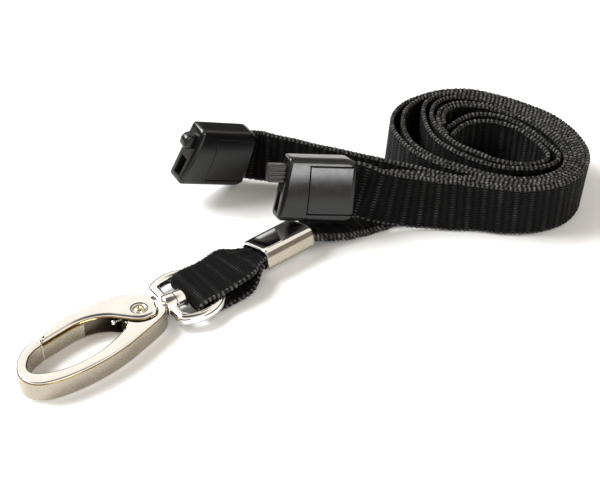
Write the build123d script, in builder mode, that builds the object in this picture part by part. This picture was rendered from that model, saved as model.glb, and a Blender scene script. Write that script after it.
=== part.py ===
"""Neck lanyard: trigger hook on a swivel ring, crimp ferrule, flat woven strap and a two-part breakaway buckle.

Frame: millimetres, +Z up. The origin is on the rest plane under the gate's rivet. +X runs along the
swivel axis, from the hook towards the coiled strap.
"""
from build123d import *
import math
import os

# ---- strap ----
STRAP_WIDTH = 10.0
STRAP_THICK = 1.0
STRAP_FLOOR_GAP = 0.05

# ---- trigger hook ----
HOOK_THICK = 4.0
CHEEK_THICK = 0.6
CHEEK_CLEARANCE = 0.1
BOSS_RADIUS = 3.2
BOSS_CLEARANCE = 0.35
LOBE_RADIUS = 4.1
RIVET_RADIUS = 0.75
RIVET_HEAD_RADIUS = 1.05
RIVET_RECESS_RADIUS = 1.5
RIVET_RECESS_DEPTH = 0.35
RUNNING_CLEARANCE = 0.05

# ---- swivel and ring ----
SWIVEL_HEIGHT = 2.0
RING_CENTRE_X = 9.0
RING_CENTRE_Y = 0.3
RING_OUTER_RADIUS = 6.8
RING_INNER_RADIUS = 4.9
RING_THICK = 1.9
RING_BAR_X = 4.5
RING_BAR_WIDTH = 1.9
SWIVEL_SHAFT_RADIUS = 1.0
SWIVEL_HEAD_RADIUS = 1.8
SWIVEL_HEAD_START = 6.5
SWIVEL_HEAD_END = 8.3

# ---- ferrule ----
FERRULE_LENGTH = 10.6
FERRULE_WIDTH = 7.2
FERRULE_HEIGHT = 4.2
FERRULE_WALL = 0.55
FERRULE_CENTRE = (29.4, 2.4, 2.6)
FERRULE_HEADING = 5.5
FERRULE_ROLL = -12.0

# ---- breakaway buckle ----
BUCKLE_LENGTH = 14.0
BUCKLE_WIDTH = 11.4
BUCKLE_THICK = 4.8
BUCKLE_OPEN_END = 5.0
LID_WIDTH = 8.6
LID_THICK = 1.9
LID_GAP = 0.15
LID_AXIS_X = 12.9
LID_AXIS_Z = 3.75
SLOT_FLOOR = 1.1
SLOT_HEIGHT = 1.25

# ---- coiled strap ----
COIL_CENTRE = (73.8, -1.8)
COIL_LONG_RADIUS = 20.0
COIL_SHORT_RADIUS = 15.0
COIL_ANGLE = -65.0
COIL_HOLE_CENTRE = (75.2, -3.6)
COIL_HOLE_LONG_RADIUS = 9.0
COIL_HOLE_SHORT_RADIUS = 4.6


def tilted_plane(origin, heading, pitch, lean):
    """Local X runs along the buckle, local Y across its width and local Z out of its front face."""
    h, p, a = (math.radians(v) for v in (heading, pitch, lean))
    along = Vector(math.cos(h) * math.cos(p), math.sin(h) * math.cos(p), math.sin(p))
    upward = (Vector(0, 0, 1) - along * along.Z).normalized()
    sideways = along.cross(upward)
    across = upward * math.cos(a) - sideways * math.sin(a)
    return Plane(origin=origin, x_dir=along, z_dir=along.cross(across))


def strap_section(centre, heading, climb, roll):
    """Plane across the strap: X is the strap's width, Y its thickness. Roll 0 is flat, 90 is on edge."""
    h, c, r = (math.radians(v) for v in (heading, climb, roll))
    travel = Vector(math.cos(h) * math.cos(c), math.sin(h) * math.cos(c), math.sin(c))
    level = Vector(0, 0, 1).cross(travel).normalized()
    rise = travel.cross(level)
    width = level * math.cos(r) + rise * math.sin(r)
    return Plane(origin=centre, x_dir=width, z_dir=travel)


BUCKLE_A_PLACE = tilted_plane((33.4, 9.4, 9.9), -23, -10, 20)
BUCKLE_B_PLACE = tilted_plane((25.0, 28.1, 11.0), -4, -21, -3)
os.makedirs("parts", exist_ok=True)

# ---------------------------------------------------------------- trigger hook
HOOK_OUTER = [
    (-17.3, 2.9), (-19.6, 2.3), (-21.9, 0.3), (-23.2, -2.4), (-23.0, -5.2), (-21.1, -7.1),
    (-17.0, -8.0), (-11.6, -7.9), (-6.6, -7.0), (-2.4, -5.6), (1.6, -4.1), (3.2, -3.2),
]
HOOK_INNER = [
    (-3.1, 0.4), (-3.6, -2.2), (-5.8, -3.7), (-10.0, -5.3), (-14.2, -5.9), (-18.0, -5.5),
    (-20.8, -4.2), (-21.4, -2.5), (-20.2, -0.4), (-18.7, 0.7), (-17.0, 1.3),
]

with BuildPart() as hook_body:
    with BuildSketch() as outline:
        with BuildLine():
            outer_edge = Spline(*HOOK_OUTER)
            Line(outer_edge @ 1, (3.9, -2.4))
            Line((3.9, -2.4), (3.9, 1.6))
            Line((3.9, 1.6), (2.6, 1.9))
            Line((2.6, 1.9), HOOK_INNER[0])
            inner_edge = Spline(*HOOK_INNER)
            Line(inner_edge @ 1, outer_edge @ 0)
        make_face()
        Circle(BOSS_RADIUS)
    extrude(amount=HOOK_THICK)
    # steps above and below the boss, where the gate's cheeks lie and turn
    step = CHEEK_THICK + CHEEK_CLEARANCE
    for height in (0, HOOK_THICK - step):
        with BuildSketch(Plane.XY.offset(height)):
            Circle(LOBE_RADIUS - 0.45)
            with Locations((-1.0, 1.8)):
                Circle(LOBE_RADIUS)
        extrude(amount=step, mode=Mode.SUBTRACT)
    # bore of the swivel post, along X
    with BuildSketch(Plane(origin=(4.5, 0, SWIVEL_HEIGHT), x_dir=(0, 1, 0), z_dir=(1, 0, 0))):
        Circle(SWIVEL_SHAFT_RADIUS)
    extrude(amount=-1.9, mode=Mode.SUBTRACT)
    # rivet bore, and the pocket of the torsion spring round it
    with BuildSketch():
        Circle(RIVET_RADIUS)
    extrude(amount=HOOK_THICK, mode=Mode.SUBTRACT)
    with BuildSketch(Plane.XY.offset(2.3)):
        Circle(2.0)
        with Locations((-2.2, 0.5)):
            Rectangle(3.4, 1.0)
    extrude(amount=1.2, mode=Mode.SUBTRACT)
hook_body.part.label = "hook_body"
export_step(hook_body.part, "parts/hook_body.step")

GATE_OUTER = [(-15.4, 2.95), (-12.0, 4.75), (-8.0, 5.45), (-4.0, 5.45), (-0.6, 4.9)]
GATE_INNER = [(-2.2, -1.6), (-3.6, -0.2), (-5.2, 1.3), (-7.4, 2.3), (-10.0, 2.6), (-13.2, 2.1), (-16.3, 1.35)]

with BuildPart() as gate:
    with BuildSketch():
        with BuildLine():
            back = Spline(*GATE_OUTER)
            lobe_top = ThreePointArc(back @ 1, (3.2, 1.2), (0.6, -2.75))
            lobe_low = ThreePointArc(lobe_top @ 1, (-1.0, -2.6), GATE_INNER[0])
            front = Spline(*GATE_INNER)
            Line(front @ 1, back @ 0)
        make_face()
    extrude(amount=HOOK_THICK)
    # slot between the two cheeks for the hook's boss
    with BuildSketch(Plane.XY.offset(CHEEK_THICK)):
        Circle(BOSS_RADIUS + BOSS_CLEARANCE)
        with Locations((-5.6, 1.4)):
            Rectangle(6.6, 3.4)
        with Locations((-1.4, -1.0)):
            Rectangle(6.0, 3.6)
    extrude(amount=HOOK_THICK - 2 * CHEEK_THICK, mode=Mode.SUBTRACT)
    # rivet holes and the recess of the rivet's domed head
    with BuildSketch():
        Circle(RIVET_RADIUS + RUNNING_CLEARANCE)
    extrude(amount=HOOK_THICK, mode=Mode.SUBTRACT)
    with BuildSketch(Plane.XY.offset(HOOK_THICK - RIVET_RECESS_DEPTH)):
        Circle(RIVET_RECESS_RADIUS)
    extrude(amount=RIVET_RECESS_DEPTH, mode=Mode.SUBTRACT)
    with BuildSketch():
        Circle(RIVET_HEAD_RADIUS + RUNNING_CLEARANCE)
    extrude(amount=0.35, mode=Mode.SUBTRACT)
gate.part.label = "gate"
export_step(gate.part, "parts/gate.step")

with BuildPart() as gate_rivet:
    # flush tail, shaft and domed head
    with BuildSketch():
        Circle(RIVET_HEAD_RADIUS)
    extrude(amount=0.3)
    with BuildSketch():
        Circle(RIVET_RADIUS)
    extrude(amount=HOOK_THICK - 0.2)
    with BuildSketch(Plane.XY.offset(HOOK_THICK - 0.3)):
        Circle(RIVET_HEAD_RADIUS)
    extrude(amount=0.5)
    fillet(gate_rivet.edges().sort_by(Axis.Z)[-1], 0.4)
gate_rivet.part.label = "gate_rivet"
export_step(gate_rivet.part, "parts/gate_rivet.step")

with BuildPart() as gate_spring:
    # close turns round the rivet and a leg that presses on the gate
    with BuildSketch(Plane.XY.offset(2.4)):
        Circle(1.7)
        Circle(1.2, mode=Mode.SUBTRACT)
    extrude(amount=0.8)
    with BuildSketch(Plane(origin=(-1.3, 0.5, 2.8), x_dir=(0, 1, 0), z_dir=(-1, 0, 0))):
        Circle(0.22)
    extrude(amount=4.0)
    with Locations((-5.3, 0.5, 2.8)):
        Sphere(0.42)
gate_spring.part.label = "gate_spring"
export_step(gate_spring.part, "parts/gate_spring.step")

# ---------------------------------------------------------------- swivel
with BuildPart() as swivel_post:
    # shaft pressed into the hook's neck, collar, and the barrel head inside the ring
    with BuildSketch(Plane(origin=(0, 0, SWIVEL_HEIGHT), x_dir=(1, 0, 0), z_dir=(0, -1, 0))):
        with BuildLine():
            Polyline(
                (2.6, 0), (2.6, SWIVEL_SHAFT_RADIUS), (SWIVEL_HEAD_START, SWIVEL_SHAFT_RADIUS),
                (SWIVEL_HEAD_START, SWIVEL_HEAD_RADIUS), (SWIVEL_HEAD_END, SWIVEL_HEAD_RADIUS),
                (SWIVEL_HEAD_END, 0.8), (SWIVEL_HEAD_END + 0.4, 0.8), (SWIVEL_HEAD_END + 0.4, 0), (2.6, 0),
            )
        make_face()
    revolve(axis=Axis((0, 0, SWIVEL_HEIGHT), (1, 0, 0)))
swivel_post.part.label = "swivel_post"
export_step(swivel_post.part, "parts/swivel_post.step")

with BuildPart() as swivel_ring:
    with BuildSketch(Plane.XY.offset(SWIVEL_HEIGHT - RING_THICK / 2)):
        with Locations((RING_CENTRE_X, RING_CENTRE_Y)):
            Circle(RING_OUTER_RADIUS)
            Circle(RING_INNER_RADIUS, mode=Mode.SUBTRACT)
        with Locations((RING_BAR_X + RING_BAR_WIDTH / 2, RING_CENTRE_Y)):
            Rectangle(RING_BAR_WIDTH, 9.6)
        with Locations((RING_BAR_X - 5, RING_CENTRE_Y)):
            Rectangle(10, 20, mode=Mode.SUBTRACT)
    extrude(amount=RING_THICK)
    fillet(swivel_ring.faces().sort_by(Axis.Z)[-1].outer_wire().edges(), 0.6)
    fillet(swivel_ring.faces().sort_by(Axis.Z)[0].outer_wire().edges(), 0.6)
    # round eye of the swivel in the middle of the flat bar
    with BuildSketch(Plane(origin=(RING_BAR_X, 0, SWIVEL_HEIGHT), x_dir=(0, 1, 0), z_dir=(1, 0, 0))):
        Circle(SWIVEL_HEAD_RADIUS)
    extrude(amount=RING_BAR_WIDTH)
    with BuildSketch(Plane(origin=(RING_BAR_X - 1, 0, SWIVEL_HEIGHT), x_dir=(0, 1, 0), z_dir=(1, 0, 0))):
        Circle(SWIVEL_SHAFT_RADIUS + RUNNING_CLEARANCE)
    extrude(amount=RING_BAR_WIDTH + 1.5, mode=Mode.SUBTRACT)
swivel_ring.part.label = "swivel_ring"
export_step(swivel_ring.part, "parts/swivel_ring.step")

# ---------------------------------------------------------------- ferrule
ferrule_turn = math.radians(FERRULE_HEADING)
ferrule_axis = Vector(math.cos(ferrule_turn), math.sin(ferrule_turn), 0)
ferrule_mid = Vector(*FERRULE_CENTRE)
ferrule_mouth = strap_section(ferrule_mid - ferrule_axis * FERRULE_LENGTH / 2, FERRULE_HEADING, 0, FERRULE_ROLL)

with BuildPart() as ferrule:
    with BuildSketch(ferrule_mouth):
        RectangleRounded(FERRULE_WIDTH, FERRULE_HEIGHT, 1.5)
        RectangleRounded(FERRULE_WIDTH - 2 * FERRULE_WALL, FERRULE_HEIGHT - 2 * FERRULE_WALL, 1.0, mode=Mode.SUBTRACT)
    extrude(amount=FERRULE_LENGTH)
ferrule.part.label = "ferrule"
export_step(ferrule.part, "parts/ferrule.step")

# ---------------------------------------------------------------- breakaway buckle


def buckle_housing():
    """One half: socket and tongue at the open end, strap slot and lid bay at the other."""
    with BuildPart() as housing:
        with BuildSketch(Plane.XY):
            with Locations((BUCKLE_LENGTH / 2, 0)):
                Rectangle(BUCKLE_LENGTH, BUCKLE_WIDTH)
        extrude(amount=BUCKLE_THICK)
        fillet(housing.edges().filter_by(Axis.X), 1.1)
        fillet(housing.edges().filter_by(Axis.Y).group_by(Axis.X)[-1], 0.8)
        # strap slot, then the bay of the lid over it
        slot_length = BUCKLE_LENGTH - BUCKLE_OPEN_END - 1.5
        with BuildSketch(Plane.XY.offset(SLOT_FLOOR)):
            with Locations((BUCKLE_LENGTH - slot_length / 2, 0)):
                Rectangle(slot_length, STRAP_WIDTH + 0.2)
        extrude(amount=SLOT_HEIGHT, mode=Mode.SUBTRACT)
        bay_length = BUCKLE_LENGTH - BUCKLE_OPEN_END
        with BuildSketch(Plane.XY.offset(SLOT_FLOOR + SLOT_HEIGHT - 0.01)):
            with Locations((BUCKLE_LENGTH - bay_length / 2, 0)):
                Rectangle(bay_length, LID_WIDTH + 2 * LID_GAP)
        extrude(amount=BUCKLE_THICK, mode=Mode.SUBTRACT)
        # pivot holes of the lid in both rails
        with BuildSketch(Plane(origin=(0, LID_WIDTH / 2 + 0.8, 0), x_dir=(1, 0, 0), z_dir=(0, 1, 0))):
            with Locations((LID_AXIS_X, -LID_AXIS_Z)):
                Circle(0.6)
        extrude(amount=-LID_WIDTH - 1.6, mode=Mode.SUBTRACT)
        # socket for the other half's tongue
        with BuildSketch(Plane(origin=(-1, 0, 0), x_dir=(0, 1, 0), z_dir=(1, 0, 0))):
            with Locations((-2.6, BUCKLE_THICK / 2)):
                Rectangle(4.2, 2.6)
        extrude(amount=5.0, mode=Mode.SUBTRACT)
        # tongue with its catch rib
        with BuildSketch(Plane(origin=(1, 0, 0), x_dir=(0, 1, 0), z_dir=(-1, 0, 0))):
            with Locations((2.6, -BUCKLE_THICK / 2)):
                Rectangle(3.6, 1.9)
        extrude(amount=3.8)
        with BuildSketch(Plane.XY.offset(BUCKLE_THICK / 2 + 0.9)):
            with Locations((-2.0, 2.6)):
                Rectangle(0.7, 3.4)
        extrude(amount=0.3)
    return housing


def buckle_lid():
    """Hinged clamp lid: a crowned panel, a rounded pivot end, two bosses and a row of teeth underneath."""
    front = BUCKLE_OPEN_END + LID_GAP
    underside = BUCKLE_THICK - LID_THICK
    with BuildPart() as lid:
        with BuildSketch(Plane(origin=(0, LID_WIDTH / 2, 0), x_dir=(1, 0, 0), z_dir=(0, -1, 0))):
            with BuildLine():
                Polyline((LID_AXIS_X, underside), (front, underside), (front, BUCKLE_THICK))
                Line((front, BUCKLE_THICK), (LID_AXIS_X, BUCKLE_THICK))
                end_x = LID_AXIS_X + (BUCKLE_THICK - LID_AXIS_Z)
                ThreePointArc((LID_AXIS_X, BUCKLE_THICK), (end_x, LID_AXIS_Z), (LID_AXIS_X, underside))
            make_face()
        extrude(amount=LID_WIDTH)
        with BuildSketch(Plane(origin=(0, LID_WIDTH / 2 + 0.7, 0), x_dir=(1, 0, 0), z_dir=(0, -1, 0))):
            with Locations((LID_AXIS_X, LID_AXIS_Z)):
                Circle(0.55)
        extrude(amount=LID_WIDTH + 1.4)
        for tooth_x in (8.4, 9.6, 10.8):
            with BuildSketch(Plane(origin=(0, 3.9, 0), x_dir=(1, 0, 0), z_dir=(0, -1, 0))):
                with BuildLine():
                    Polyline(
                        (tooth_x - 0.35, underside + 0.05), (tooth_x, underside - 0.45),
                        (tooth_x + 0.35, underside + 0.05), (tooth_x - 0.35, underside + 0.05),
                    )
                make_face()
            extrude(amount=7.8)
    return lid


for side, place in (("a", BUCKLE_A_PLACE), ("b", BUCKLE_B_PLACE)):
    for piece, name in ((buckle_housing(), f"buckle_{side}_housing"), (buckle_lid(), f"buckle_{side}_lid")):
        placed = piece.part.moved(place.location)
        placed.label = name
        export_step(placed, f"parts/{name}.step")

# ---------------------------------------------------------------- strap
# loop round the ring: two layers joined by a fold, gathered into the ferrule's mouth
fold_x = RING_CENTRE_X + 0.05
ring_top = SWIVEL_HEIGHT + RING_THICK / 2 + 0.02
ring_low = SWIVEL_HEIGHT - RING_THICK / 2 - 0.02
mid_z = SWIVEL_HEIGHT
bend = (ring_top - ring_low) / 2
waist = ferrule_mid - ferrule_axis * (FERRULE_LENGTH / 2 - 0.6)

with BuildPart() as strap_ring_loop:
    with BuildSketch(Plane(origin=(0, RING_CENTRE_Y - 4.7, 0), x_dir=(1, 0, 0), z_dir=(0, -1, 0))):
        with BuildLine():
            Line((fold_x + bend + 1, ring_low - STRAP_THICK), (17.0, ring_low - STRAP_THICK))
            Line((17.0, ring_low - STRAP_THICK), (20.6, mid_z - STRAP_THICK))
            Line((20.6, mid_z - STRAP_THICK), (20.6, mid_z + STRAP_THICK))
            Line((20.6, mid_z + STRAP_THICK), (17.0, ring_top + STRAP_THICK))
            Line((17.0, ring_top + STRAP_THICK), (fold_x + bend + 1, ring_top + STRAP_THICK))
            ThreePointArc(
                (fold_x + bend + 1, ring_top + STRAP_THICK), (fold_x, mid_z),
                (fold_x + bend + 1, ring_low - STRAP_THICK),
            )
        make_face()
        with BuildLine():
            Line((fold_x + bend + 1, ring_low), (16.6, ring_low))
            Line((16.6, ring_low), (18.6, mid_z))
            Line((18.6, mid_z), (16.6, ring_top))
            Line((16.6, ring_top), (fold_x + bend + 1, ring_top))
            ThreePointArc((fold_x + bend + 1, ring_top), (fold_x + 1, mid_z), (fold_x + bend + 1, ring_low))
        make_face(mode=Mode.SUBTRACT)
    extrude(amount=-9.4)
    with BuildSketch(Plane(origin=(20.6, RING_CENTRE_Y, mid_z), x_dir=(0, 1, 0), z_dir=(1, 0, 0))):
        Rectangle(9.4, 2 * STRAP_THICK)
    with BuildSketch(strap_section(waist, FERRULE_HEADING, 0, FERRULE_ROLL)):
        Rectangle(5.4, 2.6)
    loft(ruled=True)
    with BuildSketch(strap_section(waist, FERRULE_HEADING, 0, FERRULE_ROLL)):
        Rectangle(5.4, 2.6)
    extrude(amount=4.6)
strap_ring_loop.part.label = "strap_ring_loop"
export_step(strap_ring_loop.part, "parts/strap_ring_loop.step")

# both tails leave the ferrule flat, turn onto edge and enter the coil
EDGE_Z = STRAP_WIDTH / 2 + STRAP_FLOOR_GAP
TAIL_STATIONS = [
    ((30.0, 2.46, 2.6), 5.5, 0, -12.0, 5.2),
    ((35.2, 2.9, 2.6), 4.0, 0, -8.0, 5.6),
    ((40.5, 3.0, 1.2), -4.0, 0, 0.0, 8.8),
    ((46.4, 3.0, 1.06), -10.0, 0, 0.0, 9.8),
    ((51.2, 1.7, 4.95), -38.0, 0, 64.0, 9.8),
    ((54.8, -0.8, EDGE_Z), -52.0, 0, 90.0, 10.0),
    ((59.7, -7.0, EDGE_Z), -52.0, 0, 90.0, 10.0),
]


def strap_strip(stations, thickness, shift):
    """Ruled strip through the stations (centre, heading, climb, roll, width), shifted along its thickness."""
    with BuildPart() as strip:
        for centre, heading, climb, roll, width in stations:
            section = strap_section(centre, heading, climb, roll)
            with BuildSketch(section):
                with Locations((0, shift)):
                    Rectangle(width, thickness)
        loft(ruled=True)
    return strip


strap_tail_1 = strap_strip(TAIL_STATIONS, 0.98, 0.5)
strap_tail_2 = strap_strip(TAIL_STATIONS, 0.98, -0.5)
strap_tail_1.part.label = "strap_tail_1"
export_step(strap_tail_1.part, "parts/strap_tail_1.step")
strap_tail_2.part.label = "strap_tail_2"
export_step(strap_tail_2.part, "parts/strap_tail_2.step")

# side straps, from the slot of each buckle half to the coil, on edge


def strap_from_buckle(place, stations):
    """The strap inside the buckle's slot, then a ruled strip to the coil."""
    across = place.y_dir
    start = place.from_local_coords(Vector(7.2, 0, SLOT_FLOOR + STRAP_THICK / 2 + 0.06))
    mouth = place.from_local_coords(Vector(BUCKLE_LENGTH + 0.2, 0, SLOT_FLOOR + STRAP_THICK / 2 + 0.06))
    with BuildPart() as strip:
        for point in (start, mouth):
            with BuildSketch(Plane(origin=point, x_dir=across, z_dir=place.x_dir)):
                Rectangle(STRAP_WIDTH, STRAP_THICK)
        loft(ruled=True)
        with BuildSketch(Plane(origin=mouth, x_dir=across, z_dir=place.x_dir)):
            Rectangle(STRAP_WIDTH, STRAP_THICK)
        for centre, heading, roll in stations:
            with BuildSketch(strap_section(centre, heading, 0, roll)):
                Rectangle(STRAP_WIDTH, STRAP_THICK)
        loft(ruled=True)
    return strip


strap_end_a = strap_from_buckle(BUCKLE_A_PLACE, [
    ((48.4, -1.4, 6.9), -28.0, 76.0),
    ((52.6, -3.6, 5.5), -34.0, 84.0),
    ((61.5, -11.2, EDGE_Z), -42.0, 90.0),
])
strap_end_a.part.label = "strap_end_a"
export_step(strap_end_a.part, "parts/strap_end_a.step")

strap_end_b = strap_from_buckle(BUCKLE_B_PLACE, [
    ((42.6, 20.6, 5.4), -46.0, 90.0),
    ((48.2, 13.0, EDGE_Z), -54.0, 90.0),
    ((53.3, 4.9, EDGE_Z), -54.0, 90.0),
    ((57.2, 0.3, EDGE_Z), -50.0, 90.0),
])
strap_end_b.part.label = "strap_end_b"
export_step(strap_end_b.part, "parts/strap_end_b.step")

with BuildPart() as strap_coil:
    with BuildSketch(Plane.XY.offset(STRAP_FLOOR_GAP)):
        with Locations(Location((*COIL_CENTRE, 0), (0, 0, COIL_ANGLE))):
            Ellipse(COIL_LONG_RADIUS, COIL_SHORT_RADIUS)
        with Locations(Location((*COIL_HOLE_CENTRE, 0), (0, 0, COIL_ANGLE))):
            Ellipse(COIL_HOLE_LONG_RADIUS, COIL_HOLE_SHORT_RADIUS, mode=Mode.SUBTRACT)
    extrude(amount=STRAP_WIDTH)
strap_coil.part.label = "strap_coil"
export_step(strap_coil.part, "parts/strap_coil.step")
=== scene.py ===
"""Studio scene of the neck lanyard: hook, swivel, ferrule, breakaway buckle and the coiled woven strap.

Outlines and routes are in millimetres along the frame's axes. They become metres when vertices are made."""
import bpy
import bmesh
import math
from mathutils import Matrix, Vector
from mathutils.geometry import tessellate_polygon


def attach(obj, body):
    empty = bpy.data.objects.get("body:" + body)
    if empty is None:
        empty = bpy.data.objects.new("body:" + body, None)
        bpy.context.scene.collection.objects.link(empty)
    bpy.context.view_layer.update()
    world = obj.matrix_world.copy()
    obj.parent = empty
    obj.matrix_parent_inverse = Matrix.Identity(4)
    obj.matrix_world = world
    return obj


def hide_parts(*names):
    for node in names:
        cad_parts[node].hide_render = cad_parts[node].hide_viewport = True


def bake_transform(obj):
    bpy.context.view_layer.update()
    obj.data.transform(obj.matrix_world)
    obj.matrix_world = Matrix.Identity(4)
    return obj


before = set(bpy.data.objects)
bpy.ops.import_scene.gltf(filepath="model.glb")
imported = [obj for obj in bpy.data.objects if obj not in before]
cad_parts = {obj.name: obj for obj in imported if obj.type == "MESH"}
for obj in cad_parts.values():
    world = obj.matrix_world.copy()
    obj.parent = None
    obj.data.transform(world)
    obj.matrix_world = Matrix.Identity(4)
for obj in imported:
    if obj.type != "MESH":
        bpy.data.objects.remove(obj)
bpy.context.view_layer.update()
MM = 0.001
scene = bpy.context.scene


# ------------------------------------------------------------------ objects and curves
def linked(name, data):
    """New object in the scene."""
    made = bpy.data.objects.new(name, data)
    scene.collection.objects.link(made)
    return made


def aim_from(place, target):
    """Rotation of a camera or lamp at place that looks at target."""
    return (Vector(target) - Vector(place)).to_track_quat("-Z", "Y").to_euler()


def evaluated_mesh(piece):
    """New mesh of an object as its modifiers or curve settings leave it."""
    bpy.context.view_layer.update()
    return bpy.data.meshes.new_from_object(piece.evaluated_get(bpy.context.evaluated_depsgraph_get()))


def curve_mesh(name, kind, points, spline_settings, **curve_settings):
    """Mesh of a curve with one spline, whose points are in millimetres."""
    curve = bpy.data.curves.new(name, "CURVE")
    curve.dimensions = "3D"
    for key, value in curve_settings.items():
        setattr(curve, key, value)
    spline = curve.splines.new(kind)
    spline.points.add(len(points) - 1)
    for point, at in zip(spline.points, points):
        point.co = (*(Vector(at) * MM), 1.0)
    for key, value in spline_settings.items():
        setattr(spline, key, value)
    holder = linked(name, curve)
    mesh = evaluated_mesh(holder)
    bpy.data.objects.remove(holder)
    bpy.data.curves.remove(curve)
    return mesh


# ------------------------------------------------------------------ camera
CAMERA_AT = Vector((-80.7, -158.5, 150.5)) * MM
CAMERA_AIM = Vector((35.2, 4.1, 0.0)) * MM
camera_data = bpy.data.cameras.new("studio_camera")
camera_data.lens = 84.0
camera_data.sensor_width = 36.0
camera = linked("studio_camera", camera_data)
camera.location = CAMERA_AT
camera.rotation_euler = aim_from(CAMERA_AT, CAMERA_AIM)
scene.camera = camera

# ------------------------------------------------------------------ materials
# colour sockets of a mix node
MIX_A, MIX_B, MIX_RESULT = 6, 7, 2


def fill_ramp(color_ramp, stops):
    """Give a colour ramp these (position, colour) stops."""
    elements = color_ramp.elements
    while len(elements) < len(stops):
        elements.new(0.5)
    for element, (position, colour) in zip(elements, stops):
        element.position = position
        element.color = (*colour, 1.0)


class Nodes:
    """Short calls for building a material's node tree."""

    def __init__(self, name):
        self.material = bpy.data.materials.new(name)
        self.material.use_nodes = True
        self.tree = self.material.node_tree
        self.bsdf = self.tree.nodes["Principled BSDF"]

    def node(self, kind, **settings):
        made = self.tree.nodes.new(kind)
        for key, value in settings.items():
            setattr(made, key, value)
        return made

    def link(self, source, target):
        self.tree.links.new(source, target)

    def put(self, socket, value):
        """Link the socket to another one, or set its value."""
        if hasattr(value, "links"):
            self.link(value, socket)
        else:
            socket.default_value = value

    def surface(self, **inputs):
        """Fill the surface shader's inputs. An underscore stands for a space in an input's name."""
        for key, value in inputs.items():
            self.put(self.bsdf.inputs[key.replace("_", " ")], value)

    def object_coords(self):
        return self.node("ShaderNodeTexCoord").outputs["Object"]

    def math(self, operation, a, b=None, clamp=False):
        made = self.node("ShaderNodeMath", operation=operation, use_clamp=clamp)
        self.put(made.inputs[0], a)
        if b is not None:
            self.put(made.inputs[1], b)
        return made.outputs[0]

    def add(self, a, b):
        return self.math("ADD", a, b)

    def times(self, a, b):
        return self.math("MULTIPLY", a, b)

    def power(self, a, exponent):
        return self.math("POWER", a, exponent)

    def noise(self, vector, scale, detail, roughness=0.55):
        made = self.node("ShaderNodeTexNoise")
        self.link(vector, made.inputs["Vector"])
        made.inputs["Scale"].default_value = scale
        made.inputs["Detail"].default_value = detail
        made.inputs["Roughness"].default_value = roughness
        return made.outputs["Fac"]

    def ramp(self, value, stops):
        made = self.node("ShaderNodeValToRGB")
        self.link(value, made.inputs[0])
        fill_ramp(made.color_ramp, stops)
        return made.outputs["Color"]

    def mapped(self, value, low, high, to_low, to_high):
        made = self.node("ShaderNodeMapRange")
        self.link(value, made.inputs["Value"])
        for key, number in (("From Min", low), ("From Max", high), ("To Min", to_low), ("To Max", to_high)):
            made.inputs[key].default_value = number
        return made.outputs["Result"]

    def bump(self, height, depth, strength=1.0, normal=None):
        made = self.node("ShaderNodeBump")
        made.inputs["Strength"].default_value = strength
        made.inputs["Distance"].default_value = depth
        self.link(height, made.inputs["Height"])
        if normal is not None:
            self.link(normal, made.inputs["Normal"])
        return made.outputs["Normal"]


# depth of each bump texture, in metres
POLISH_DEPTH = 0.00002
SKIN_DEPTH = 0.000006
WEAVE_DEPTH = 0.00022

# the weave, in millimetres: ribs along the strap, yarns across it, loops along its edges
RIB_PITCH = 1.38
YARN_PITCH = 0.52
BEAD_PITCH = 0.82
SELVEDGE_FROM = 4.55
# yarn colour by painted shading: painted shade in the valleys, up to a painted highlight on the tops of the
# floats
YARN_PAINTED_SHADING_COLOURS = [
    (0.0, (0.0006, 0.0006, 0.0007)), (0.36, (0.0010, 0.0010, 0.0011)),
    (0.68, (0.0085, 0.0083, 0.008)), (1.0, (0.065, 0.062, 0.059)),
]
# painted highlight colour of the selvedge loops
SELVEDGE_HIGHLIGHT_COLOUR = (0.115, 0.111, 0.104, 1.0)


def nickel(name, roughness, tint, grain=0.0):
    """Plated metal, slightly warm: faint polishing waves, specks and, on satin walls, a fine grain."""
    n = Nodes(name)
    place = n.object_coords()
    waves = n.noise(place, scale=260.0, detail=2.0)
    specks = n.noise(place, scale=2600.0, detail=4.0, roughness=0.7)
    normal = n.bump(waves, POLISH_DEPTH, strength=0.35)
    if grain:
        fine = n.noise(place, scale=4000.0, detail=5.0, roughness=0.75)
        normal = n.bump(fine, POLISH_DEPTH, grain, normal)
    duller = tuple(v * 0.92 for v in tint)
    n.surface(
        Metallic=1.0,
        Base_Color=n.ramp(waves, [(0.3, tint), (0.75, duller)]),
        Roughness=n.mapped(specks, 0.3, 0.8, roughness * 0.8, roughness * 1.35),
        Normal=normal,
    )
    return n.material


def moulded_plastic(name, base, roughness):
    """Black moulded plastic: faint flow clouds, a fine skin texture and a slight scuff in the gloss."""
    n = Nodes(name)
    place = n.object_coords()
    clouds = n.noise(place, scale=180.0, detail=3.0)
    skin = n.noise(place, scale=5200.0, detail=4.0, roughness=0.7)
    scuff = n.noise(place, scale=900.0, detail=5.0, roughness=0.75)
    lighter = tuple(v * 1.5 for v in base)
    n.surface(
        Base_Color=n.ramp(clouds, [(0.25, base), (0.8, lighter)]),
        Roughness=n.mapped(scuff, 0.3, 0.75, roughness * 0.85, roughness * 1.3),
        Specular_IOR_Level=0.42,
        Normal=n.bump(skin, SKIN_DEPTH, strength=0.12),
    )
    return n.material


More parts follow.
